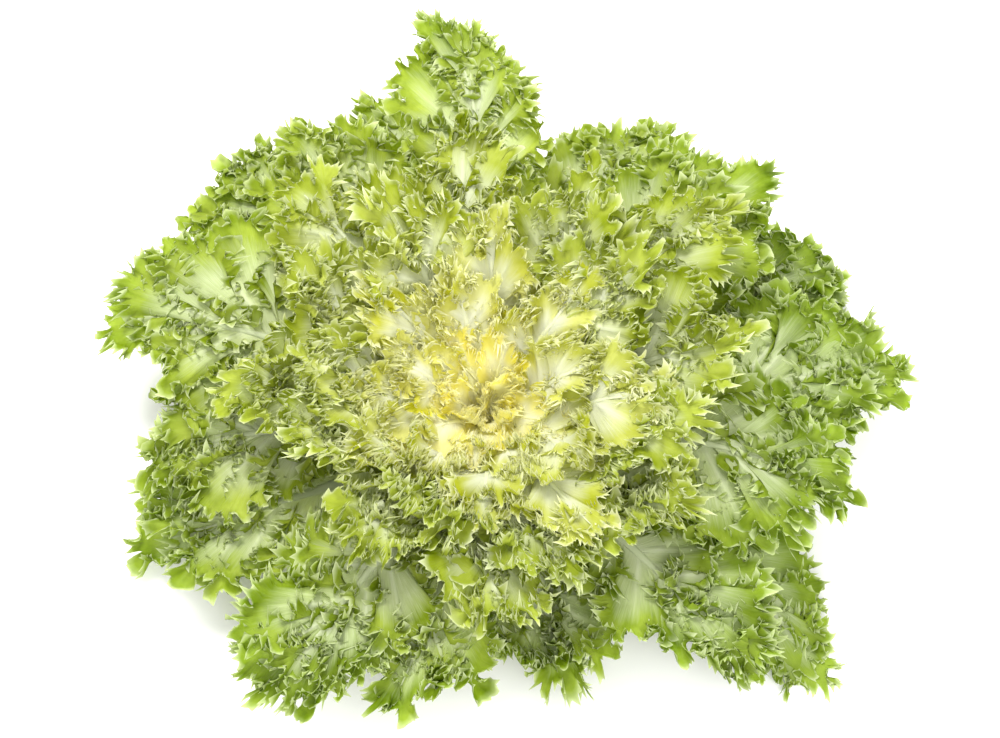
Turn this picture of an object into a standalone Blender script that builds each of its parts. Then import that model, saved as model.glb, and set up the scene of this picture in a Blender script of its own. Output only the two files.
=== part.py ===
"""Curly endive head (frisee): a short crown with a flat cut base, and fifty-eight leaves growing from it in a rosette.

Metres, +Z up. The origin is the middle of the cut base, which stands on the table.
+X is the wide way of the open head, +Y the side whose leaves stand higher.

Every leaf lies on one surface of a family. Seen from the heart of the crown, a point of a leaf
has a distance rho, an azimuth theta and an elevation. The elevation rises with the leaf's rank,
from 0 for the outermost leaf to 1 for the innermost, at every distance and azimuth,
so that leaves lie one over the other and never cross.
"""

import math

import bmesh
import bpy

# ---- driving dimensions, in millimetres unless said otherwise ----
CROWN_HEART_Z = 12.0        # height of the point that all leaves radiate from
CROWN_RADIUS = 15.0         # the crown is round about that point
BASE_RADIUS = 12.5          # the flat cut that the head stands on
LEAF_START = 15.4           # distance from the heart point at which a leaf leaves the crown
RIB_THICKNESS = 2.3         # leaf thickness at the midrib of an outer leaf, near its foot
BLADE_SHARE = 0.42          # thickness of the blade's margin as a share of the rib's
MM = 0.001

# ---- the rosette ----
# name, azimuth (deg), sideways bend of the tip (deg), reach from the heart point (mm), greatest half width (mm)
# in rank order, outermost first.
OUTER = [
    ("outer_leaf_01", 100.0, 7.0, 167.0, 31.0),
    ("outer_leaf_02", -74.0, 2.0, 118.0, 30.0),
    ("outer_leaf_03", 28.0, -1.0, 171.0, 34.0),
    ("outer_leaf_04", -155.0, -6.0, 151.0, 35.0),
    ("outer_leaf_05", 133.0, -1.0, 170.0, 34.0),
    ("outer_leaf_06", -31.0, -4.0, 174.0, 25.0),
    ("outer_leaf_07", 66.0, -4.0, 160.0, 34.0),
    ("outer_leaf_08", -102.0, -5.0, 133.0, 25.0),
    ("outer_leaf_09", 183.0, 6.0, 146.0, 31.0),
    ("outer_leaf_10", 5.0, 3.0, 182.0, 29.0),
    ("outer_leaf_11", 122.0, 3.0, 152.0, 30.0),
    ("outer_leaf_12", -46.0, 3.0, 152.0, 25.0),
    ("outer_leaf_13", -122.0, -5.0, 150.0, 29.0),
    ("outer_leaf_14", 43.0, -2.0, 162.0, 33.0),
    ("outer_leaf_15", 162.0, 3.0, 165.0, 33.0),
    ("outer_leaf_16", -11.0, -3.0, 160.0, 35.0),
    ("outer_leaf_17", 90.0, 4.0, 181.0, 26.0),
]
# The other rings follow the golden angle from the azimuth given here.
RINGS = [
    # name, count, first azimuth, reach of the first and last leaf, half width of the first and last leaf,
    # and the share by which leaves on the -Y side are shorter than those on the +Y side
    ("middle_leaf", 17, 129.0, (140.0, 112.0), (32.0, 26.0), 0.19),
    ("inner_leaf", 14, 302.6, (108.0, 78.0), (25.0, 18.0), 0.10),
    ("heart_leaf", 10, 67.7, (72.0, 44.0), (14.5, 6.0), 0.0),
]
GOLDEN_ANGLE = 137.508
RING_STEP = 2.0             # extra steps of rank between the outer leaves and those within
RANK_GAIN = 1.06            # the outer leaves' ranks stand a little further apart than the inner ones'
HEART_OPENING = 25.0        # how far the heart's leaves lean outwards, in degrees per unit of rank above 0.55


def clamp(x, low=0.0, high=1.0):
    return max(low, min(high, x))


def smooth(low, high, x):
    t = clamp((x - low) / (high - low))
    return t * t * (3 - 2 * t)


def elevation(rho, theta, rank):
    """Elevation in radians, seen from the heart point, of the leaf surface of this rank. rho in mm."""
    far = rho / 100.0
    start = 17.0 + 72.0 * rank - 5.0 * rank * rank
    fall = 8.1 + 7.0 * rank + 21.5 * rank**3
    front = (0.5 - 0.5 * math.sin(theta)) ** 3
    back = (0.5 + 0.5 * math.sin(theta)) ** 2
    fall *= 1.0 + 0.35 * front * (1.0 - rank) ** 2
    lift = 6.5 * back * far * smooth(0.0, 0.3, rank)
    sway = 0.7 * math.sin(3 * theta + 1.0) * far * far
    within = max(0.0, rank - 0.55)
    opened = HEART_OPENING * within * (1.0 - 0.35 * within) * smooth(22.0, 55.0, rho)
    opened *= 1.0 - smooth(60.0, 100.0, rho)
    return math.radians(start - fall * far * far + lift + sway - opened)


def above_table(z):
    """Leaf heights as they are, but eased down onto the table where a leaf would reach below it."""
    if z > 6.0:
        return z
    return 6.0 - 5.2 * (1.0 - math.exp(-(6.0 - z) / 5.2))


def leaf_point(leaf, along, across, raised=0.0):
    """A point of a leaf, in mm. along runs from 0 at the foot to 1 at the tip, across is mm from the midrib."""
    rho = LEAF_START + (leaf["reach"] - LEAF_START) * along
    middle = leaf["azimuth"] + leaf["bend"] * along * along
    flat = rho * math.cos(elevation(rho, middle, leaf["rank"]))
    turn = across / max(flat, 6.0)
    turn = 1.25 * math.tanh(turn / 1.25)
    theta = middle + turn
    angle = elevation(rho, theta, leaf["rank"]) + raised / rho
    return (
        rho * math.cos(angle) * math.cos(theta),
        rho * math.cos(angle) * math.sin(theta),
        above_table(CROWN_HEART_Z + rho * math.sin(angle)),
    )


def half_width(leaf, along):
    """Half the leaf's width in mm: a narrow fleshy foot, a lobed blade that is widest past the middle, and a round tip."""
    foot = 3.4 + 0.05 * leaf["width"]
    blade = leaf["width"] * smooth(0.06, 0.62, along)
    lobes = 1.0 + 0.13 * math.cos(2 * math.pi * (leaf["lobes"] * along + leaf["seed"])) * smooth(0.2, 0.5, along)
    tip = math.sqrt(clamp(1.0 - smooth(0.70, 1.03, along) ** 2, 0.03, 1.0))
    return (foot + (blade * lobes)) * tip


def leaves():
    found, last = [], len(OUTER) + sum(r[1] for r in RINGS) - 1 + RING_STEP

    def add(name, azimuth, bend, reach, width):
        n = len(found)
        step = n + (RING_STEP if n >= len(OUTER) else 0.0)
        found.append(
            {
                "name": name,
                "azimuth": math.radians(azimuth),
                "bend": math.radians(bend),
                "reach": reach,
                "width": width,
                "rank": (step / last) ** RANK_GAIN,
                "lobes": 3.5 + 1.5 * ((n * 0.382) % 1.0),
                "seed": (n * 0.618034) % 1.0,
            }
        )

    for row in OUTER:
        add(*row)
    for name, count, first, reach, width, shorter in RINGS:
        for i in range(count):
            t = i / (count - 1)
            wander = 0.5 + 0.5 * math.sin(2.4 * i + first)
            azimuth = first + GOLDEN_ANGLE * i + 5.0 * math.sin(1.7 * i)
            front = (0.5 - 0.5 * math.sin(math.radians(azimuth))) ** 2
            full = reach[0] + (reach[1] - reach[0]) * t + (wander - 0.5) * 0.07 * reach[0]
            add(
                f"{name}_{i + 1:02d}",
                azimuth,
                7.0 * math.sin(2.1 * i + 0.5),
                full * (1.0 - shorter * front),
                width[0] + (width[1] - width[0]) * t,
            )
    return found


def material(name, colour, roughness):
    made = bpy.data.materials.new(name)
    made.use_nodes = True
    shader = made.node_tree.nodes["Principled BSDF"]
    shader.inputs["Base Color"].default_value = (*colour, 1.0)
    shader.inputs["Roughness"].default_value = roughness
    shader.inputs["Metallic"].default_value = 0.0
    return made


def build_leaf(leaf, collection, finish):
    """An open sheet, thickened most along the midrib."""
    name = leaf["name"]
    rows = {"o": 10, "m": 9, "i": 8, "h": 7}[name[0]]
    mesh = bpy.data.meshes.new(name)
    bm = bmesh.new()
    bmesh.ops.create_grid(bm, x_segments=rows, y_segments=4, size=1.0)
    thick = []
    for v in bm.verts:
        along = 0.5 + 0.5 * v.co.x
        side = v.co.y
        spread = abs(side) ** 0.9 * (1 if side >= 0 else -1)
        across = spread * half_width(leaf, along)
        wave = 0.9 * (leaf["reach"] / 150.0) * side * side * smooth(0.3, 0.8, along)
        raised = wave * math.sin(9.0 * along + 3.0 * side + 6.28 * leaf["seed"])
        v.co = [MM * c for c in leaf_point(leaf, along, across, raised)]
        rib = (1.0 - abs(side)) ** 1.5 * (1.0 - 0.75 * along)
        thick.append(BLADE_SHARE + (1.0 - BLADE_SHARE) * rib)
    bm.normal_update()
    if sum(f.normal.z for f in bm.faces) < 0:
        bmesh.ops.reverse_faces(bm, faces=bm.faces)
    bm.to_mesh(mesh)
    bm.free()
    mesh.shade_smooth()
    obj = bpy.data.objects.new(name, mesh)
    collection.objects.link(obj)
    group = obj.vertex_groups.new(name="thickness")
    for i, weight in enumerate(thick):
        group.add([i], weight, "REPLACE")
    solid = obj.modifiers.new("Solidify", "SOLIDIFY")
    solid.thickness = MM * RIB_THICKNESS * (0.42 + 0.58 * leaf["reach"] / 160.0) * (1.0 - 0.35 * leaf["rank"])
    solid.offset = 0.0
    solid.vertex_group = "thickness"
    mesh.materials.append(finish)
    return obj


def build_crown(collection, finish):
    """The crown that carries the leaves: a turned body, round above and cut flat below."""
    mesh = bpy.data.meshes.new("crown")
    bm = bmesh.new()
    profile = [(0.0, CROWN_HEART_Z + CROWN_RADIUS)]
    steps = 7
    for i in range(1, steps + 1):
        a = math.radians(90.0 - 112.0 * i / steps)
        profile.append((CROWN_RADIUS * math.cos(a), CROWN_HEART_Z + CROWN_RADIUS * math.sin(a)))
    profile += [(BASE_RADIUS + 0.4, 1.6), (BASE_RADIUS, 0.0), (0.0, 0.0)]
    verts = [bm.verts.new((MM * r, 0.0, MM * z)) for r, z in profile]
    for a, b in zip(verts, verts[1:]):
        bm.edges.new((a, b))
    bm.to_mesh(mesh)
    bm.free()
    obj = bpy.data.objects.new("crown", mesh)
    collection.objects.link(obj)
    turn = obj.modifiers.new("Screw", "SCREW")
    turn.steps = turn.render_steps = 24
    turn.use_merge_vertices = True
    turn.merge_threshold = 0.00001
    turn.use_smooth_shade = True
    mesh.materials.append(finish)
    return obj


def main():
    for obj in list(bpy.data.objects):
        bpy.data.objects.remove(obj)
    head = bpy.data.collections.new("curly_endive_head")
    bpy.context.scene.collection.children.link(head)
    finishes = {
        "o": material("leaf_green", (0.22, 0.40, 0.05), 0.5),
        "m": material("leaf_lime", (0.38, 0.55, 0.10), 0.5),
        "i": material("leaf_pale", (0.58, 0.68, 0.20), 0.5),
        "h": material("leaf_yellow", (0.80, 0.74, 0.25), 0.5),
    }
    build_crown(head, material("crown_flesh", (0.80, 0.77, 0.60), 0.55))
    for leaf in leaves():
        build_leaf(leaf, head, finishes[leaf["name"][0]])


main()
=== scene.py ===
import math

import bpy
import numpy as np
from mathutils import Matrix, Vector


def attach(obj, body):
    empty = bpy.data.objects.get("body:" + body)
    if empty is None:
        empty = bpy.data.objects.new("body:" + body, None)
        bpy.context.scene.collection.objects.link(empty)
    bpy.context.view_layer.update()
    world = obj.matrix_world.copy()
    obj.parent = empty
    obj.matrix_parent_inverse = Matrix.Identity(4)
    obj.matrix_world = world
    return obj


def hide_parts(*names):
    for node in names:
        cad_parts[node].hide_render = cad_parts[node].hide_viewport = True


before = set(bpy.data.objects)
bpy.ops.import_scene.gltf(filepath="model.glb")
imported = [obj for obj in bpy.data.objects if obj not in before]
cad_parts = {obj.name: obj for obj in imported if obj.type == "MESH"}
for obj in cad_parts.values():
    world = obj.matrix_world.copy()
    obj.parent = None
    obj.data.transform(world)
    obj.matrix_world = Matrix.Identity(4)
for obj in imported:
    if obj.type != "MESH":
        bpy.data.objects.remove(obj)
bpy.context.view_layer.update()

MM = 0.001

# ---------------------------------------------------------------------------
# The family of surfaces that the leaves lie on, as in the CAD model, in millimetres.
# ---------------------------------------------------------------------------
HEART_Z = 12.0
CROWN_RADIUS = 15.0
BASE_RADIUS = 12.5
LEAF_START = 15.4
RING_STEP = 2.0
RANK_GAIN = 1.06
HEART_OPENING = 25.0
GOLDEN_ANGLE = 137.508
OUTER = [
    ("outer_leaf_01", 100.0, 7.0, 167.0, 31.0),
    ("outer_leaf_02", -74.0, 2.0, 118.0, 30.0),
    ("outer_leaf_03", 28.0, -1.0, 171.0, 34.0),
    ("outer_leaf_04", -155.0, -6.0, 151.0, 35.0),
    ("outer_leaf_05", 133.0, -1.0, 170.0, 34.0),
    ("outer_leaf_06", -31.0, -4.0, 174.0, 25.0),
    ("outer_leaf_07", 66.0, -4.0, 160.0, 34.0),
    ("outer_leaf_08", -102.0, -5.0, 133.0, 25.0),
    ("outer_leaf_09", 183.0, 6.0, 146.0, 31.0),
    ("outer_leaf_10", 5.0, 3.0, 182.0, 29.0),
    ("outer_leaf_11", 122.0, 3.0, 152.0, 30.0),
    ("outer_leaf_12", -46.0, 3.0, 152.0, 25.0),
    ("outer_leaf_13", -122.0, -5.0, 150.0, 29.0),
    ("outer_leaf_14", 43.0, -2.0, 162.0, 33.0),
    ("outer_leaf_15", 162.0, 3.0, 165.0, 33.0),
    ("outer_leaf_16", -11.0, -3.0, 160.0, 35.0),
    ("outer_leaf_17", 90.0, 4.0, 181.0, 26.0),
]
RINGS = [
    ("middle_leaf", 17, 129.0, (140.0, 112.0), (32.0, 26.0), 0.19),
    ("inner_leaf", 14, 302.6, (108.0, 78.0), (25.0, 18.0), 0.10),
    ("heart_leaf", 10, 67.7, (72.0, 44.0), (14.5, 6.0), 0.0),
]
RETHROWN = {"inner_leaf_13": 9113}    # another seed, for a leaf whose tip came out bare


def smooth(low, high, x):
    t = np.clip((x - low) / (high - low), 0.0, 1.0)
    return t * t * (3.0 - 2.0 * t)


def leaves():
    found = []
    last = len(OUTER) + sum(r[1] for r in RINGS) - 1 + RING_STEP

    def add(name, azimuth, bend, reach, width):
        n = len(found)
        step = n + (RING_STEP if n >= len(OUTER) else 0.0)
        found.append(dict(
            name=name, azimuth=math.radians(azimuth), bend=math.radians(bend), reach=reach, width=width,
            rank=(step / last) ** RANK_GAIN, seed=RETHROWN.get(name, 1000 + 37 * n), n=n,
            # scales the outward colour measure by side: leaves towards the back left come out paler, those towards the
            # front right greener
            outward_scale_by_side=1.0 - 0.22 * math.sin(math.radians(azimuth - 25.0)),
        ))

    for row in OUTER:
        add(*row)
    for name, count, first, reach, width, shorter in RINGS:
        for i in range(count):
            t = i / (count - 1)
            wander = 0.5 + 0.5 * math.sin(2.4 * i + first)
            azimuth = first + GOLDEN_ANGLE * i + 5.0 * math.sin(1.7 * i)
            front = (0.5 - 0.5 * math.sin(math.radians(azimuth))) ** 2
            full = reach[0] + (reach[1] - reach[0]) * t + (wander - 0.5) * 0.07 * reach[0]
            add(
                f"{name}_{i + 1:02d}",
                azimuth,
                7.0 * math.sin(2.1 * i + 0.5),
                full * (1.0 - shorter * front),
                width[0] + (width[1] - width[0]) * t,
            )
    return found


def elevation(rho, theta, rank):
    far = rho / 100.0
    start = 17.0 + 72.0 * rank - 5.0 * rank * rank
    fall = 8.1 + 7.0 * rank + 21.5 * rank**3
    front = (0.5 - 0.5 * np.sin(theta)) ** 3
    back = (0.5 + 0.5 * np.sin(theta)) ** 2
    fall = fall * (1.0 + 0.35 * front * (1.0 - rank) ** 2)
    lift = 6.5 * back * far * smooth(0.0, 0.3, np.float64(rank))
    sway = 0.7 * np.sin(3.0 * theta + 1.0) * far * far
    within = max(0.0, rank - 0.55)
    opened = HEART_OPENING * within * (1.0 - 0.35 * within) * smooth(22.0, 55.0, rho)
    opened = opened * (1.0 - smooth(60.0, 100.0, rho))
    return np.radians(start - fall * far * far + lift + sway - opened)


def on_leaf(leaf, s, w, n):
    """The point at s along the leaf from its foot, w to its left and n above its surface, all arrays in mm."""
    rho = np.maximum(LEAF_START + s, 4.0)
    along = s / (leaf["reach"] - LEAF_START)
    middle = leaf["azimuth"] + leaf["bend"] * along * np.abs(along)
    flat = rho * np.cos(elevation(rho, middle, leaf["rank"]))
    turn = 1.25 * np.tanh(w / np.maximum(flat, 6.0) / 1.25)
    theta = middle + turn
    angle = elevation(rho, theta, leaf["rank"]) + n / rho
    z = HEART_Z + rho * np.sin(angle)
    z = np.where(z > 6.0, z, 6.0 - 5.2 * (1.0 - np.exp(-(6.0 - np.minimum(z, 6.0)) / 5.2)))
    z = np.where(z < 92.0, z, 92.0 + 6.5 * np.tanh((np.maximum(z, 92.0) - 92.0) / 6.5))
    r = rho * np.cos(angle)
    return np.stack([r * np.cos(theta), r * np.sin(theta), z], axis=-1)


def half_width(leaf, along):
    """The CAD leaf's half width, without its lobes."""
    foot = 3.4 + 0.05 * leaf["width"]
    blade = leaf["width"] * smooth(0.06, 0.62, along)
    tip = np.sqrt(np.clip(1.0 - smooth(0.70, 1.03, along) ** 2, 0.03, 1.0))
    return (foot + blade) * tip


# ---------------------------------------------------------------------------
# Helpers for seeded, smooth irregularity.
# ---------------------------------------------------------------------------
def wander(seed, x, wavelength):
    """Smooth noise in -1..1 along x."""
    table = np.random.default_rng(seed).uniform(-1.0, 1.0, 512)
    u = np.asarray(x, float) / wavelength
    i = np.floor(u).astype(int)
    f = u - i
    f = f * f * (3.0 - 2.0 * f)
    return table[i % 512] * (1.0 - f) + table[(i + 1) % 512] * f


def running_mean(a, width):
    width = max(3, int(width) | 1)
    k = np.hanning(width + 2)[1:-1]
    padded = np.pad(a, width // 2, mode="edge")
    return np.convolve(padded, k / k.sum(), mode="valid")


def through(xs, ys, x):
    """Values through (xs, ys), half straight and half eased."""
    i = np.clip(np.searchsorted(xs, x) - 1, 0, len(xs) - 2)
    f = np.clip((x - xs[i]) / (xs[i + 1] - xs[i]), 0.0, 1.0)
    f = 0.5 * f + 0.5 * f * f * (3.0 - 2.0 * f)
    return ys[i] * (1.0 - f) + ys[i + 1] * f


# ---------------------------------------------------------------------------
# One leaf: a frilled blade, its midrib and its side ribs.
# ---------------------------------------------------------------------------
STYLE = {  # per ring: columns, lobes a side, frill size, its height and usual roll, rib half width and height
    "o": dict(columns=4200, lobes=7, frill=1.16, tall=6.0, curl=74.0, rib=(3.8, 1.9), cup=0.0, lift=(-2.0, 8.0), fold=1.0),
    "m": dict(columns=3700, lobes=5, frill=1.26, tall=5.4, curl=84.0, rib=(3.8, 1.9), cup=2.0, lift=(-3.0, 6.0), fold=0.95),
    "i": dict(columns=2200, lobes=3, frill=1.20, tall=4.2, curl=74.0, rib=(3.0, 1.5), cup=1.0, lift=(-9.0, -3.0), fold=0.78),
    "h": dict(columns=1000, lobes=1, frill=1.05, tall=3.6, curl=64.0, rib=(1.5, 0.8), cup=0.0, lift=(-12.0, -6.0), fold=0.68),
}
FEET = {
    7: [0.12, 0.25, 0.36, 0.46, 0.55, 0.63, 0.70], 5: [0.15, 0.33, 0.47, 0.58, 0.67],
    3: [0.26, 0.45, 0.62], 1: [0.48],
}
TURNS = {7: [76, 70, 63, 55, 45, 34, 19], 5: [72, 66, 57, 45, 27], 3: [66, 53, 31], 1: [46]}
STAND = 3.5                                            # how far in from the margin the frill starts to stand up
FRILL_ROWS = [1.0, 0.80, 0.44, 0.0]                    # the frill's rows, as shares of its height
BLADE_ROWS = [0.62, 0.28, 0.0]                         # the rows of the blade, as shares of its width
EVERY = [1, 2, 2, 4, 4, 4, 4]                          # each row's columns: all, every other, or every fourth
GAUSS = np.polynomial.legendre.leggauss(6)


def rays(leaf, style, rng):
    """The fan of lines from the midrib to the margin, from the left of the foot round the tip to the right."""
    length = leaf["reach"] - LEAF_START
    k = style["lobes"]
    feet, turns = np.array(FEET[k]), np.radians(TURNS[k])
    left = [(feet[i], turns[i]) for i in range(k)]
    lobes = left + [(0.74, 0.0)] + [(f, -t) for f, t in reversed(left)]
    at, foot, turn, far, fan, rise, twist = [], [], [], [], [], [], []
    for j, (f, t) in enumerate(lobes):
        f = f + rng.uniform(-0.03, 0.03)
        t = t + math.radians(rng.uniform(-9, 9))
        s = f * length
        if j == k:
            reach = length - s + 2.0
        else:
            reach = leaf["width"]
            for _ in range(6):
                tip = (s + reach * math.cos(t)) / length
                reach = 0.5 * reach + 0.5 * float(half_width(leaf, np.float64(tip))) / abs(math.sin(t))
            reach = min(reach * rng.uniform(0.86, 1.14), (0.99 * length - s) / math.cos(t))
        at.append(j + 0.5)
        foot.append(s)
        turn.append(t)
        far.append(max(reach - 4.0, 5.0))
        fan.append(math.radians(rng.uniform(11, 20)) * (1.2 if j == k else 1.0))
        rise.append(rng.uniform(-0.5, 1))
        twist.append(rng.uniform(-1, 1))
    m = len(lobes)
    at = np.array([0.0] + at + [float(m)])
    pad = lambda a, first, last: np.array([first] + a + [last])
    foot, turn = pad(foot, 0.03 * length, 0.03 * length), pad(turn, math.radians(84), math.radians(-84))
    far, fan = pad(far, 3.0, 3.0), pad(fan, 0.05, 0.05)
    rise, twist = pad(rise, 0.0, 0.0), pad(twist, 0.0, 0.0)
    sinus = rng.uniform(*((0.10, 0.40) if k > 3 else (0.50, 0.80)), m + 1)

    u = np.linspace(0.0, m, 9001)
    p = u - np.floor(np.minimum(u, m - 1e-9)) - 0.5
    depth = np.interp(u, np.arange(m + 1), sinus)
    lobe = depth + (1.0 - depth) * np.abs(np.cos(np.pi * p)) ** 0.8
    whole = through(at, far, u)
    rough = 1.0 + 0.10 * wander(leaf["seed"] + 1, u, 0.27) + 0.11 * wander(leaf["seed"] + 8, u, 0.10)
    reach = whole * lobe * rough
    angle = through(at, turn, u) - through(at, fan, u) * np.sin(2.0 * np.pi * p)
    start = through(at, foot, u)
    x, y = start + reach * np.cos(angle), reach * np.sin(angle)
    step = np.hypot(np.diff(x), np.diff(y)) + 0.5 * np.diff(u)
    arc = np.concatenate([[0.0], np.cumsum(step)])
    return dict(
        u=u, foot=start, reach=reach, angle=angle, rise=through(at, rise, u), twist=through(at, twist, u),
        whole=whole, arc=arc, x=x, y=y,
    ), m, at[1:-1]


def blade(leaf, style, rng):
    """Rows of the blade, outermost first: for each, arrays of s, w, n and what the material needs."""
    dense, lobes, centres = rays(leaf, style, rng)
    size, length, seed = style["frill"], leaf["reach"] - LEAF_START, leaf["seed"]

    # the outline in even steps, its direction and how sharply it bends
    total = dense["arc"][-1]
    even = np.linspace(0.0, total, int(total / 0.2))
    fine = {name: np.interp(even, dense["arc"], a) for name, a in dense.items()}
    gap = even[1] - even[0]
    x, y = running_mean(fine["x"], 5.0 * size / gap), running_mean(fine["y"], 5.0 * size / gap)
    way = running_mean(np.unwrap(np.arctan2(np.gradient(y), np.gradient(x))), 4.0 * size / gap)
    bend = -np.gradient(way) / gap

    # the margin meanders: its heading turns to and fro every few millimetres
    edges = [0.0]
    while edges[-1] < total:
        edges.append(edges[-1] + rng.uniform(1.9, 3.7) * size)
    edges = np.array(edges)
    count = len(edges) - 1
    centre, width = 0.5 * (edges[1:] + edges[:-1]), np.diff(edges)
    turns = np.where(np.arange(count) % 2, 1, -1) * rng.uniform(1.2, 2.0, count)
    coarse = np.sin(2.0 * np.pi * even / (17.0 * size) + 2.4 * wander(seed + 4, even, 23.0))
    heading = style["fold"] * (through(centre, turns, even) + 0.6 * coarse)
    wide = 9.0 * size / gap
    spare = np.maximum(running_mean(np.cos(heading), wide), 0.3)
    # it is cut between the turns, stands higher and lower, and rolls more and less
    k = np.clip(np.searchsorted(edges, even, side="right") - 1, 0, count - 1)
    q = np.clip((even - centre[k]) / width[k], -0.5, 0.5)
    notch = rng.uniform(0.15, 0.80, count)[k] * (1.0 - (1.0 - np.abs(2.0 * q) ** 2.2) ** 0.7)
    tall = style["tall"] * size * (0.85 + 0.38 * wander(seed + 7, even, 7.0))
    roll = style["curl"] + 60.0 * wander(seed + 2, even, 13.0) + 25.0 * wander(seed + 3, even, 41.0)
    roll = np.radians(np.clip(roll, 24.0, 150.0))

    # columns, evenly along the meandering edge, fewer near the foot
    stretch = np.clip(1.0 + 0.7 * tall * bend, 0.3, 4.0)
    real = np.hypot(gap * stretch / spare, np.gradient(tall * notch))
    real = real * (0.45 + 0.55 * smooth(0.15, 0.45, fine["x"] / length))
    real = np.concatenate([[0.0], np.cumsum(0.5 * (real[1:] + real[:-1]))])
    want = np.linspace(0.0, 1.0, style["columns"] + 1)
    arc = np.interp(want * real[-1], real, even)

    def at_columns(a):
        return np.interp(arc, even, a)

    ray = {name: at_columns(a) for name, a in fine.items()}
    ray["p"] = ray["u"] - np.floor(np.minimum(ray["u"], lobes - 1e-9)) - 0.5
    reach, rolling, rim, cut, aim = (at_columns(a) for a in (fine["reach"], roll, tall, notch, way))
    out = np.stack([np.cos(ray["angle"]), np.sin(ray["angle"])])
    ahead, outward = np.stack([np.cos(aim), np.sin(aim)]), np.stack([-np.sin(aim), np.cos(aim)])
    stand = np.minimum(STAND * size, 0.5 * reach)

    # the rim is incised into pointed lobes, each curling a little by itself
    cuts = [0.0]
    while cuts[-1] < len(want):
        cuts.append(cuts[-1] + rng.uniform(8.0, 18.0))
    cuts, number = np.array(cuts), np.arange(len(want))
    c = np.clip(np.searchsorted(cuts, number, side="right") - 1, 0, len(cuts) - 2)
    off = np.abs(2.0 * (number - cuts[c]) / (cuts[c + 1] - cuts[c]) - 1.0)
    cut = 1.0 - (1.0 - cut) * (1.0 - rng.uniform(0.25, 0.75, len(cuts))[c] * off**1.5)
    rolling = rolling + np.radians(rng.uniform(-30.0, 30.0, len(cuts))[c]) * (1.0 - off**2)

    # teeth, two, four or six columns wide at their feet
    wide_at_foot = rng.choice([2, 4, 4, 6], len(want))
    ends = np.concatenate([[0], np.cumsum(wide_at_foot)])
    c = np.searchsorted(ends, number, side="right") - 1
    point = (1.0 - np.abs(2.0 * (number - ends[c]) / wide_at_foot[c] - 1.0)) ** 1.4
    tooth = (1.0 + 2.8 * rng.random(len(want)) ** 1.3)[c] * (wide_at_foot[c] / 4.0) ** 0.6
    tooth = (tooth * (1.2 - 0.5 * off) * point - 0.7 * (1.0 - point)) * size**0.5
    skew = rng.uniform(-1.1, 1.1, len(want))[c] * point
    tilt = rng.uniform(-1.8, 1.8, len(want))[c] * point

    rows = []
    for i, f in enumerate(FRILL_ROWS + BLADE_ROWS):
        standing = i < len(FRILL_ROWS)
        g, g_even = (f * (1.0 - cut), f * (1.0 - notch)) if standing else (0.0 * cut, 0.0 * notch)
        place = reach - stand * (1.0 - g) if standing else (reach - stand) * f
        # the roll, from lying in the blade to standing up or curling over
        forth, up = np.zeros_like(reach), np.zeros_like(reach)
        for node, weight in zip(*GAUSS):
            a = rolling * smooth(0.0, 0.5, g * 0.5 * (node + 1.0))
            forth += 0.5 * weight * np.cos(a) * rim * g
            up += 0.5 * weight * np.sin(a) * rim * g
        rolled = rolling * smooth(0.0, 0.5, g)
        # the meander, along the margin and across the rolled frill
        along, across = np.zeros_like(reach), np.zeros_like(reach)
        if f > 0.0 and standing:
            turned = heading * smooth(0.0, 0.55, g_even)
            run = gap * np.clip(1.0 + g_even * tall * bend, 0.2, 3.0)
            run = run / np.maximum(running_mean(np.cos(turned), wide), 0.3)
            along, across = np.cumsum(np.cos(turned) * run), np.cumsum(np.sin(turned) * run)
            along = at_columns(along - running_mean(along, wide))
            across = at_columns(across - running_mean(across, wide))
        column = want * style["columns"]
        crinkle = wander(seed + 22, 2.0 * column + 1.3 * i, 2.6) + 0.8 * wander(seed + 23, 2.0 * column - 2.1 * i, 5.4)
        across = across + 0.1 * size * crinkle * smooth(-0.5, 0.7, g)
        if i == 0:
            forth, up = forth + tooth * np.cos(rolled), up + tooth * np.sin(rolled)
            across, along = across + tilt, along + skew
        forth = forth - across * np.sin(rolled)
        up = up + across * np.cos(rolled)
        ripple = 2.2 * size * np.sin(2.0 * np.pi * arc / (23.0 * size) + 2.4 * wander(seed + 6, arc, 37.0))
        up = up + ripple * smooth(0.25, 1.0, place / reach)
        s = ray["foot"] + place * out[0] + forth * outward[0] + along * ahead[0]
        w = place * out[1] + forth * outward[1] + along * ahead[1]
        grow = place / np.maximum(ray["whole"], 1.0)
        n = up + ray["rise"] * 6.0 * size * grow**1.6
        n = n + ray["twist"] * 5.0 * size * np.sin(np.pi * ray["p"]) * grow
        beside = np.abs(np.sin(ray["p"] * np.pi)) * place * 0.9
        ridge = 0.9 * np.exp(-((beside / 1.5) ** 2)) * smooth(1.0, 6.0, place) * (1.0 - smooth(0.25, 0.9, place / ray["whole"]))
        n = n + ridge + leaf_bow(leaf, style, s, w)
        away = (1.0 - g) * rim if standing else rim + reach - stand - place
        near = (1.0 - f) * rim if standing else rim + reach
        rows.append(dict(s=s, w=w, n=n, away=away, near=near, place=place))
    return dict(rows=rows, ray=ray, arc=arc, centres=centres, lobes=lobes)


def leaf_bow(leaf, style, s, w):
    """The whole leaf's own hollow, roll and lift of the tip, above the CAD surface."""
    length = leaf["reach"] - LEAF_START
    along = s / length
    return (
        leaf["roll"] * w * smooth(0.15, 0.9, along)
        + style["cup"] * (w / leaf["width"]) ** 2
        + 1.6 * np.sin(2 * np.pi * s / 47.0 + leaf["n"]) * smooth(0.2, 0.5, along)
        + leaf["lift"] * smooth(0.62, 1.05, along)
    )


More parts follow.
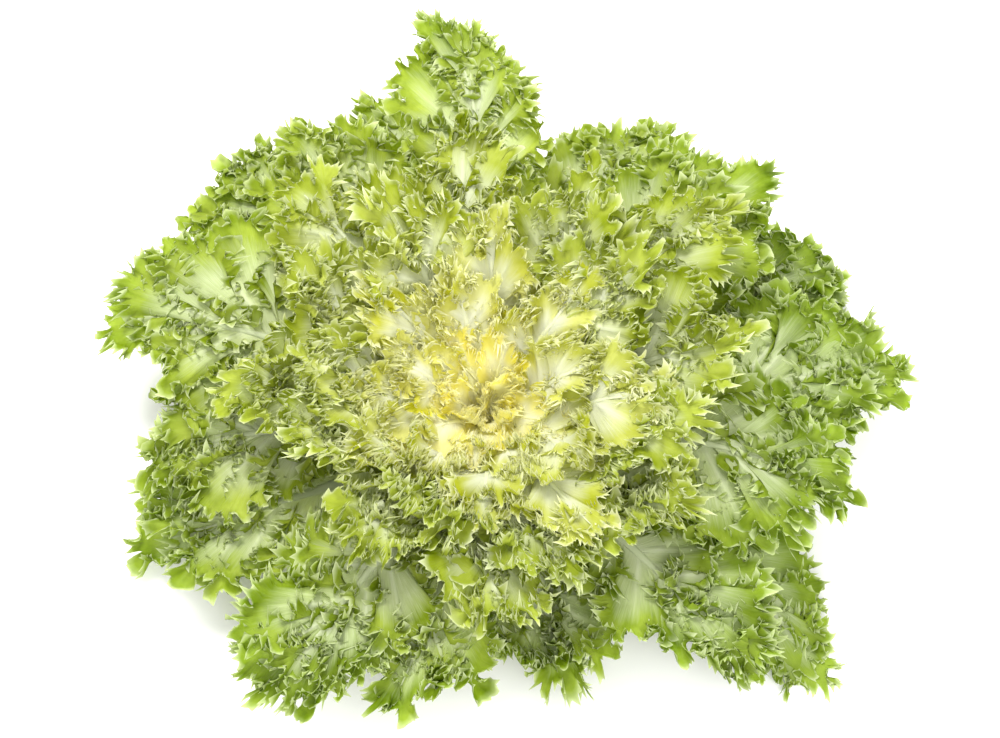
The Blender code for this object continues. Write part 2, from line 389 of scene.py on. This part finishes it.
def strips(counts, starts):
    """Triangles between rows of columns, each row having as many as the next or twice as many."""
    faces = []
    for (a, na), (b, nb) in zip(zip(starts, counts), zip(starts[1:], counts[1:])):
        if na == nb:
            i = np.arange(na - 1)
            faces += [np.stack([a + i, b + i, b + i + 1], 1), np.stack([a + i, b + i + 1, a + i + 1], 1)]
        else:
            i = np.arange(nb - 1)
            faces += [
                np.stack([a + 2 * i, b + i, a + 2 * i + 1], 1),
                np.stack([a + 2 * i + 1, b + i, b + i + 1], 1),
                np.stack([a + 2 * i + 1, b + i + 1, a + 2 * i + 2], 1),
            ]
    return np.concatenate(faces)


def tube(path, wide, high, across, sides, closed=True):
    """A tapered tube along path: points, faces. across is the direction of its width at each point."""
    path = np.asarray(path)
    ahead = np.gradient(path, axis=0)
    ahead /= np.linalg.norm(ahead, axis=1)[:, None]
    across = across - (across * ahead).sum(1)[:, None] * ahead
    across /= np.linalg.norm(across, axis=1)[:, None]
    up = np.cross(ahead, across)
    a = np.linspace(0.0, 2.0 * np.pi, sides, endpoint=False)
    ring = (
        path[:, None, :]
        + (wide[:, None] * np.cos(a)[None, :])[:, :, None] * across[:, None, :]
        + (high[:, None] * np.sin(a)[None, :])[:, :, None] * up[:, None, :]
    )
    k = len(path)
    i, j = np.meshgrid(np.arange(k - 1), np.arange(sides), indexing="ij")
    q = [i * sides + j, i * sides + (j + 1) % sides, (i + 1) * sides + (j + 1) % sides, (i + 1) * sides + j]
    faces = [np.stack([q[0], q[1], q[2]], -1).reshape(-1, 3), np.stack([q[0], q[2], q[3]], -1).reshape(-1, 3)]
    points = ring.reshape(-1, 3)
    points = np.concatenate([points, path[:1], path[-1:]])
    j = np.arange(sides)
    foot, tip = k * sides, k * sides + 1
    faces.append(np.stack([np.full(sides, foot), (j + 1) % sides, j], 1))
    faces.append(np.stack([np.full(sides, tip), (k - 1) * sides + j, (k - 1) * sides + (j + 1) % sides], 1))
    return points, np.concatenate(faces), k


def make_leaf(leaf, others):
    style = STYLE[leaf["name"][0]]
    rng = np.random.default_rng(leaf["seed"])
    leaf["roll"] = rng.uniform(-0.16, 0.16)
    leaf["lift"] = rng.uniform(*style["lift"])
    if leaf["rank"] > 0.92:                            # the last leaves close over the heart
        leaf["lift"] = 5.0
    b = blade(leaf, style, rng)
    ray = b["ray"]
    length = leaf["reach"] - LEAF_START
    points, counts, starts, facts, total = [], [], [], [], 0
    for row, k in zip(b["rows"], EVERY):
        pick = slice(None, None, k)
        s, w, n = row["s"][pick], row["w"][pick], row["n"][pick]
        points.append(between(leaf, others, s, w, n))
        starts.append(total)
        counts.append(len(s))
        total += len(s)
        place, away, whole = row["place"][pick], row["away"][pick], ray["whole"][pick]
        beside = np.abs(np.sin(ray["p"][pick] * np.pi)) * place * 0.9
        rib = np.exp(-((beside / 1.9) ** 2)) * (1.0 - smooth(0.3, 0.8, place / whole)) + np.exp(-((place / 4.0) ** 2))
        # margin: nearness to the rim, which lays on the paler rim tint and its painted highlight
        facts.append(np.stack([
            np.exp(-row["near"][pick] / 1.6), np.clip(rib, 0, 1), leaf["outward_scale_by_side"] * np.hypot(s + LEAF_START, w) / 180.0,
            np.clip(away / 18.0, 0, 1), b["arc"][pick], place,
        ], 1))
    faces = strips(counts, starts)
    blocks, fact_blocks, face_blocks = [np.concatenate(points)], [np.concatenate(facts)], [faces]

    def add_tube(path, wide, high, across, sides, pale):
        pts, fcs, k = tube(path, wide, high, across, sides)
        offset = sum(len(x) for x in blocks)
        f = np.zeros((len(pts), 6))
        f[:, 1], f[:, 3] = pale, 1.0
        f[:, 2] = leaf["outward_scale_by_side"] * np.linalg.norm(pts - np.array([0, 0, HEART_Z]), axis=1) / 180.0
        f[: k * sides, 4] = np.tile(np.arange(sides), k) * 1.7
        run = np.concatenate([[0], np.cumsum(np.linalg.norm(np.diff(path, axis=0), axis=1))])
        f[: k * sides, 5] = np.repeat(run, sides)
        blocks.append(pts)
        fact_blocks.append(f)
        face_blocks.append(fcs + offset)

    # midrib, from inside the crown to near the tip
    s = np.concatenate([[-2.6], np.linspace(-0.5, length * 0.90, 30)])
    path = between(leaf, others, s, 0.0 * s, leaf_bow(leaf, style, s, 0.0 * s))
    left = between(leaf, others, s, 0.0 * s + 1.0, leaf_bow(leaf, style, s, 0.0 * s + 1.0))
    t = np.clip(s / length, 0, 1)
    wide = style["rib"][0] * (1.0 - 0.80 * smooth(0.0, 0.8, t)) * (1 - 0.7 * smooth(0.7, 0.9, t)) + 0.05
    high = style["rib"][1] * (1.0 - 0.78 * smooth(0.0, 0.75, t)) * (1 - 0.7 * smooth(0.7, 0.9, t)) + 0.05
    add_tube(path, wide, high, left - path, 12, 1.0)

    return np.concatenate(blocks) * MM, np.concatenate(face_blocks), np.concatenate(fact_blocks)


def between(leaf, others, s, w, n):
    """on_leaf, with n eased so that the point stays between the blades that lie over and under it."""
    rho = np.maximum(LEAF_START + s, 4.0)
    here = on_leaf(leaf, s, w, 0.0 * n)
    theta = np.arctan2(here[:, 1], here[:, 0])
    mine = elevation(rho, theta, leaf["rank"])
    above, below = np.full(len(s), 60.0), np.full(len(s), 60.0)
    spare = {"o": 0.0, "m": 0.8, "i": 3.0, "h": 8.0}[leaf["name"][0]]
    for other in others:
        if other is leaf:
            continue
        along = (rho - LEAF_START) / (other["reach"] - LEAF_START)
        middle = other["azimuth"] + other["bend"] * along * np.abs(along)
        turn = (theta - middle + np.pi) % (2.0 * np.pi) - np.pi
        flat = rho * np.cos(elevation(rho, middle, other["rank"]))
        across = 1.25 * np.arctanh(np.clip(turn / 1.25, -0.999, 0.999)) * np.maximum(flat, 6.0)
        covered = 1.0 - smooth(0.62, 1.0, np.abs(across) / np.maximum(half_width(other, along), 1.0))
        covered = covered * (1.0 - smooth(0.78, 0.98, along)) * (along > 0)
        if not covered.any():
            continue
        gap = rho * np.abs(elevation(rho, theta, other["rank"]) - mine) * 0.66 + spare + 26.0 * (1.0 - covered)
        if other["rank"] > leaf["rank"]:
            above = np.minimum(above, gap)
        else:
            below = np.minimum(below, gap)
    n = np.where(n > 0, above * np.tanh(n / above), below * np.tanh(n / below))
    return on_leaf(leaf, s, w, n)


def to_object(name, points, faces, facts):
    mesh = bpy.data.meshes.new(name)
    mesh.vertices.add(len(points))
    mesh.vertices.foreach_set("co", points.astype(np.float32).ravel())
    mesh.loops.add(faces.size)
    mesh.loops.foreach_set("vertex_index", faces.astype(np.int32).ravel())
    mesh.polygons.add(len(faces))
    mesh.polygons.foreach_set("loop_start", np.arange(0, faces.size, 3, dtype=np.int32))
    mesh.polygons.foreach_set("use_smooth", np.ones(len(faces), bool))
    for column, what in enumerate(("margin", "rib", "outward", "inside")):
        layer = mesh.attributes.new(what, "FLOAT", "POINT")
        layer.data.foreach_set("value", facts[:, column].astype(np.float32))
    uv = mesh.uv_layers.new(name="veins")
    uv.data.foreach_set("uv", facts[faces.ravel(), 4:6].astype(np.float32).ravel())
    mesh.update(calc_edges=True)
    mesh.validate()
    made = bpy.data.objects.new(name, mesh)
    bpy.context.scene.collection.objects.link(made)
    return made


# ---------------------------------------------------------------------------
# Materials.
# ---------------------------------------------------------------------------
def linear(r, g, b):
    return tuple(((c / 255 + 0.055) / 1.055) ** 2.4 if c > 10 else c / 255 / 12.92 for c in (r, g, b)) + (1.0,)


class Nodes:
    def __init__(self, name):
        self.mat = bpy.data.materials.new(name)
        self.mat.use_nodes = True
        self.tree = self.mat.node_tree
        self.tree.nodes.clear()
        self.out = self.tree.nodes.new("ShaderNodeOutputMaterial")

    def new(self, kind, **sets):
        node = self.tree.nodes.new(kind)
        for k, v in sets.items():
            setattr(node, k, v)
        return node

    def wire(self, a, b):
        self.tree.links.new(a, b)

    def put(self, socket, value):
        if hasattr(value, "is_output"):
            self.wire(value, socket)
        else:
            socket.default_value = value

    def attribute(self, name):
        return self.new("ShaderNodeAttribute", attribute_name=name).outputs["Fac"]

    def math(self, op, a, b=0.0, clamp=False):
        node = self.new("ShaderNodeMath", operation=op, use_clamp=clamp)
        self.put(node.inputs[0], a)
        self.put(node.inputs[1], b)
        return node.outputs[0]

    def ramp(self, value, low, high, to_low=0.0, to_high=1.0):
        node = self.new("ShaderNodeMapRange")
        self.put(node.inputs["Value"], value)
        for k, v in (("From Min", low), ("From Max", high), ("To Min", to_low), ("To Max", to_high)):
            node.inputs[k].default_value = v
        return node.outputs["Result"]

    def mix(self, fac, a, b, blend="MIX"):
        node = self.new("ShaderNodeMix", data_type="RGBA", blend_type=blend)
        self.put(node.inputs[0], fac)
        self.put(node.inputs[6], a)
        self.put(node.inputs[7], b)
        return node.outputs[2]

    def noise(self, vector, scale, detail=3.0, rough=0.5):
        node = self.new("ShaderNodeTexNoise")
        if vector is not None:
            self.wire(vector, node.inputs["Vector"])
        node.inputs["Scale"].default_value = scale
        node.inputs["Detail"].default_value = detail
        node.inputs["Roughness"].default_value = rough
        return node.outputs["Fac"]

    def stretch(self, vector, x, y, z=1.0):
        node = self.new("ShaderNodeMapping")
        self.wire(vector, node.inputs["Vector"])
        node.inputs["Scale"].default_value = (x, y, z)
        return node.outputs["Vector"]


def leaf_material(name, near, far, change, through_share, through_colour, blade=(0.46, 1.12)):
    """near and far: colours of the pale blade, green, deep green, rim (its own paler tint plus a painted highlight)
    and rib, changing over these distances.
    """
    n = Nodes(name)
    uv = n.new("ShaderNodeUVMap", uv_map="veins").outputs["UV"]
    where = n.new("ShaderNodeTexCoord").outputs["Object"]
    inside, margin = n.attribute("inside"), n.attribute("margin")
    ribbed, outward = n.attribute("rib"), n.attribute("outward")
    streak = n.noise(n.stretch(uv, 0.55, 0.05), 1.0, 3.0, 0.6)
    fine = n.noise(n.stretch(uv, 2.2, 0.10), 1.0, 2.0, 0.5)
    blotch = n.noise(where, 55.0, 3.0, 0.55)
    small = n.noise(where, 420.0, 3.0, 0.6)
    # greener near the margin, paler inside, by streaks
    depth = n.math("ADD", inside, n.math("MULTIPLY", n.math("SUBTRACT", streak, 0.5), 0.45))
    depth = n.math("ADD", depth, n.math("MULTIPLY", n.math("SUBTRACT", blotch, 0.5), 0.6))
    to_pale = n.ramp(depth, *blade)
    out = n.math("ADD", outward, n.math("MULTIPLY", n.math("SUBTRACT", blotch, 0.5), 0.16))
    out = n.ramp(out, *change)
    pale, green, deep, edge, rib = (n.mix(out, a, b) for a, b in zip(near, far))
    leaf = n.mix(n.ramp(blotch, 0.38, 0.68), green, deep)
    colour = n.mix(to_pale, leaf, pale)
    veined = n.math("MULTIPLY", n.ramp(fine, 0.45, 0.75), n.math("ADD", n.math("MULTIPLY", to_pale, 0.62), 0.05))
    colour = n.mix(veined, colour, rib)
    rib_much = n.math("MULTIPLY", n.math("POWER", ribbed, 1.3), 0.92)
    colour = n.mix(rib_much, colour, rib)
    # paler rims: partly the tissue's own paler tint, partly a painted highlight standing for rims that catch the light
    colour = n.mix(n.math("MULTIPLY", n.ramp(margin, 0.30, 0.95), 0.80), colour, edge)
    # surface
    bumpy = n.math("ADD", n.math("MULTIPLY", streak, 0.8), n.math("MULTIPLY", fine, 0.4))
    bumpy = n.math("ADD", bumpy, n.math("MULTIPLY", small, 0.5))
    bump = n.new("ShaderNodeBump")
    bump.inputs["Strength"].default_value = 0.45
    bump.inputs["Distance"].default_value = 0.0006
    n.wire(bumpy, bump.inputs["Height"])
    main = n.new("ShaderNodeBsdfPrincipled")
    n.wire(colour, main.inputs["Base Color"])
    n.wire(n.ramp(small, 0.2, 0.8, 0.42, 0.60), main.inputs["Roughness"])
    main.inputs["Specular IOR Level"].default_value = 0.14
    n.wire(bump.outputs["Normal"], main.inputs["Normal"])
    glow = n.new("ShaderNodeBsdfTranslucent")
    n.wire(n.mix(0.9, colour, through_colour, "MULTIPLY"), glow.inputs["Color"])
    n.wire(bump.outputs["Normal"], glow.inputs["Normal"])
    both = n.new("ShaderNodeMixShader")
    both.inputs["Fac"].default_value = through_share
    n.wire(main.outputs[0], both.inputs[1])
    n.wire(glow.outputs[0], both.inputs[2])
    n.wire(both.outputs[0], n.out.inputs["Surface"])
    return n.mat


# each palette: pale blade, green, deep green, rim (own paler tint plus painted highlight) and rib
GREEN = [linear(*c) for c in ((168, 183, 124), (142, 164, 52), (96, 120, 2), (203, 212, 168), (200, 208, 170))]
LIME = [linear(*c) for c in ((197, 205, 156), (175, 187, 74), (132, 148, 4), (219, 223, 190), (214, 219, 188))]
PALE = [linear(*c) for c in ((219, 222, 182), (200, 205, 104), (172, 179, 14), (232, 233, 206), (228, 231, 206))]
CREAM = [linear(*c) for c in ((238, 238, 212), (233, 230, 160), (229, 219, 60), (243, 242, 224), (240, 240, 221))]
HEART = [linear(*c) for c in ((248, 247, 222), (249, 244, 170), (250, 236, 46), (252, 251, 238), (249, 248, 222))]
MATERIALS = {
    "o": leaf_material("outer_leaf_tissue", LIME, GREEN, (0.45, 0.85), 0.42, (0.88, 1.0, 0.30, 1.0)),
    "m": leaf_material("middle_leaf_tissue", PALE, LIME, (0.28, 0.58), 0.44, (0.94, 1.0, 0.34, 1.0)),
    "i": leaf_material("inner_leaf_tissue", CREAM, PALE, (0.20, 0.46), 0.48, (0.98, 1.0, 0.46, 1.0), (0.40, 0.98)),
    "h": leaf_material("heart_leaf_tissue", HEART, CREAM, (0.18, 0.36), 0.60, (1.0, 1.0, 0.60, 1.0)),
}

ALL_LEAVES = leaves()
for leaf in ALL_LEAVES:
    made = to_object("frilled_" + leaf["name"], *make_leaf(leaf, ALL_LEAVES))
    made.data.materials.append(MATERIALS[leaf["name"][0]])
    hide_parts(leaf["name"])
    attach(made, "root")


# ---------------------------------------------------------------------------
# The crown: a round, ridged stump with a sliced base.
# ---------------------------------------------------------------------------
def make_crown():
    around, up = 128, 44
    a = np.linspace(0, 2 * np.pi, around, endpoint=False)
    low = math.asin(-HEART_Z / CROWN_RADIUS) if HEART_Z < CROWN_RADIUS else -math.pi / 2
    points = []
    cut = math.sqrt(max(CROWN_RADIUS**2 - HEART_Z**2, 1.0))
    start = math.atan2(-HEART_Z, BASE_RADIUS)
    for t in np.linspace(0, 1, up):
        e = start + (math.pi / 2 - start) * t
        r = CROWN_RADIUS * (1.0 + 0.0 * t)
        if t == 0:
            r = math.hypot(HEART_Z, BASE_RADIUS)
        ridge = 0.28 * np.sin(17 * a + 3.0 * t) * np.sin(math.pi * min(t * 1.6, 1.0)) + 0.12 * np.sin(41 * a + 9 * t)
        rr = (min(r, CROWN_RADIUS) - 0.35 + ridge * (0.2 + 0.8 * math.cos(e)))
        points.append(np.stack([rr * math.cos(e) * np.cos(a), rr * math.cos(e) * np.sin(a), np.full(around, HEART_Z + min(r, CROWN_RADIUS) * math.sin(e)) + 0 * a], 1))
    rings = points
    lowest = rings[0].copy()
    lowest[:, 2] = 0.0
    base = []
    for f in (0.985, 0.93, 0.8, 0.6, 0.4, 0.2):
        ring = lowest * f
        ring[:, 2] = 0.0 if f < 0.97 else 0.0
        base.append(ring)
    lowest[:, 2] = 0.35
    rings = base[::-1] + [lowest] + rings[1:]
    pts = np.concatenate(rings + [[[0, 0, 0]], [[0, 0, HEART_Z + CROWN_RADIUS - 0.35]]])
    k = len(rings)
    i, j = np.meshgrid(np.arange(k - 1), np.arange(around), indexing="ij")
    q = [i * around + j, i * around + (j + 1) % around, (i + 1) * around + (j + 1) % around, (i + 1) * around + j]
    faces = [np.stack([q[0], q[1], q[2]], -1).reshape(-1, 3), np.stack([q[0], q[2], q[3]], -1).reshape(-1, 3)]
    j = np.arange(around)
    faces.append(np.stack([np.full(around, k * around), (j + 1) % around, j], 1))
    faces.append(np.stack([np.full(around, k * around + 1), (k - 1) * around + j, (k - 1) * around + (j + 1) % around], 1))
    facts = np.zeros((len(pts), 6))
    facts[:, 4], facts[:, 5] = pts[:, 0], pts[:, 1]
    return pts * MM, np.concatenate(faces), facts


def crown_material():
    n = Nodes("crown_tissue")
    where = n.new("ShaderNodeTexCoord").outputs["Object"]
    split = n.new("ShaderNodeSeparateXYZ")
    n.wire(where, split.inputs[0])
    flat = n.new("ShaderNodeCombineXYZ")
    n.wire(split.outputs[0], flat.inputs[0])
    n.wire(split.outputs[1], flat.inputs[1])
    length = n.new("ShaderNodeVectorMath", operation="LENGTH")
    n.wire(flat.outputs[0], length.inputs[0])
    blotch = n.noise(where, 260.0, 4.0, 0.6)
    fine = n.noise(where, 1500.0, 3.0, 0.6)
    dots = n.new("ShaderNodeTexVoronoi")
    n.wire(where, dots.inputs["Vector"])
    dots.inputs["Scale"].default_value = 700.0
    ringed = n.new("ShaderNodeTexWave", wave_type="RINGS", rings_direction="Z")
    n.wire(where, ringed.inputs["Vector"])
    ringed.inputs["Scale"].default_value = 95.0
    ringed.inputs["Distortion"].default_value = 3.0
    ringed.inputs["Detail"].default_value = 3.0
    cut = n.ramp(split.outputs[2], 0.0004, 0.0014, 1.0, 0.0)
    flesh = n.mix(n.ramp(blotch, 0.35, 0.7), linear(240, 236, 206), linear(222, 218, 170))
    brown = n.mix(n.ramp(length.outputs["Value"], 0.004, 0.0125), linear(206, 176, 128), linear(150, 104, 66))
    brown = n.mix(n.math("MULTIPLY", n.ramp(ringed.outputs["Fac"], 0.4, 0.9), 0.5), brown, linear(226, 206, 164))
    brown = n.mix(n.ramp(dots.outputs["Distance"], 0.0, 0.35, 0.55, 0.0), brown, linear(120, 80, 50))
    colour = n.mix(n.math("MULTIPLY", cut, n.ramp(blotch, 0.2, 0.6, 0.6, 1.0)), flesh, brown)
    bump = n.new("ShaderNodeBump")
    bump.inputs["Strength"].default_value = 0.6
    bump.inputs["Distance"].default_value = 0.0005
    n.wire(n.math("ADD", blotch, n.math("MULTIPLY", fine, 0.5)), bump.inputs["Height"])
    main = n.new("ShaderNodeBsdfPrincipled")
    n.wire(colour, main.inputs["Base Color"])
    n.wire(n.ramp(fine, 0.2, 0.8, 0.45, 0.75), main.inputs["Roughness"])
    n.wire(bump.outputs["Normal"], main.inputs["Normal"])
    n.wire(main.outputs[0], n.out.inputs["Surface"])
    return n.mat


crown = to_object("cut_crown", *make_crown())
crown.data.materials.append(crown_material())
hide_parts("crown")
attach(crown, "root")

# ---------------------------------------------------------------------------
# Floor, light and camera.
# ---------------------------------------------------------------------------
floor_mesh = bpy.data.meshes.new("floor")
floor_mesh.from_pydata([(-6, -6, 0), (6, -6, 0), (6, 6, 0), (-6, 6, 0)], [], [(0, 1, 2, 3)])
floor = bpy.data.objects.new("floor", floor_mesh)
bpy.context.scene.collection.objects.link(floor)
n = Nodes("pale_floor")
where = n.new("ShaderNodeTexCoord").outputs["Object"]
main = n.new("ShaderNodeBsdfPrincipled")
n.wire(n.mix(n.noise(where, 3.0), (0.90, 0.90, 0.90, 1.0), (0.92, 0.92, 0.92, 1.0)), main.inputs["Base Color"])
main.inputs["Roughness"].default_value = 0.9
main.inputs["Specular IOR Level"].default_value = 0.1
n.wire(main.outputs[0], n.out.inputs["Surface"])
floor_mesh.materials.append(n.mat)

world = bpy.context.scene.world or bpy.data.worlds.new("world")
bpy.context.scene.world = world
world.use_nodes = True
world.node_tree.nodes["Background"].inputs["Color"].default_value = (1.0, 0.995, 0.985, 1.0)
world.node_tree.nodes["Background"].inputs["Strength"].default_value = 1.27


def area(name, place, aim, size, power, colour=(1, 1, 1)):
    data = bpy.data.lights.new(name, "AREA")
    data.shape, data.size, data.energy, data.color = "DISK", size, power, colour
    made = bpy.data.objects.new(name, data)
    made.location = place
    made.rotation_euler = (Vector(aim) - Vector(place)).to_track_quat("-Z", "Y").to_euler()
    bpy.context.scene.collection.objects.link(made)
    return made


area("key", (-0.25, 0.60, 1.45), (0, 0.02, 0.03), 0.8, 35.0, (1.0, 0.995, 0.97))
area("fill", (0.4, -0.9, 1.2), (0, 0, 0.03), 1.2, 14.0)

AIM = Vector((0.0062, 0.0232, 0.030))
ELEVATION = math.radians(68.0)
DISTANCE = 1.2
camera_data = bpy.data.cameras.new("camera")
camera = bpy.data.objects.new("camera", camera_data)
back = Vector((0.0, -math.cos(ELEVATION), math.sin(ELEVATION)))
camera.location = AIM + back * DISTANCE
camera.rotation_euler = (-back).to_track_quat("-Z", "Y").to_euler()
camera_data.sensor_width = 36.0
camera_data.lens = 36.0 * DISTANCE / 0.415
camera_data.clip_start, camera_data.clip_end = 0.05, 50.0
bpy.context.scene.collection.objects.link(camera)
bpy.context.scene.camera = camera
bpy.context.scene.view_settings.view_transform = "Standard"
bpy.context.scene.view_settings.look = "None"
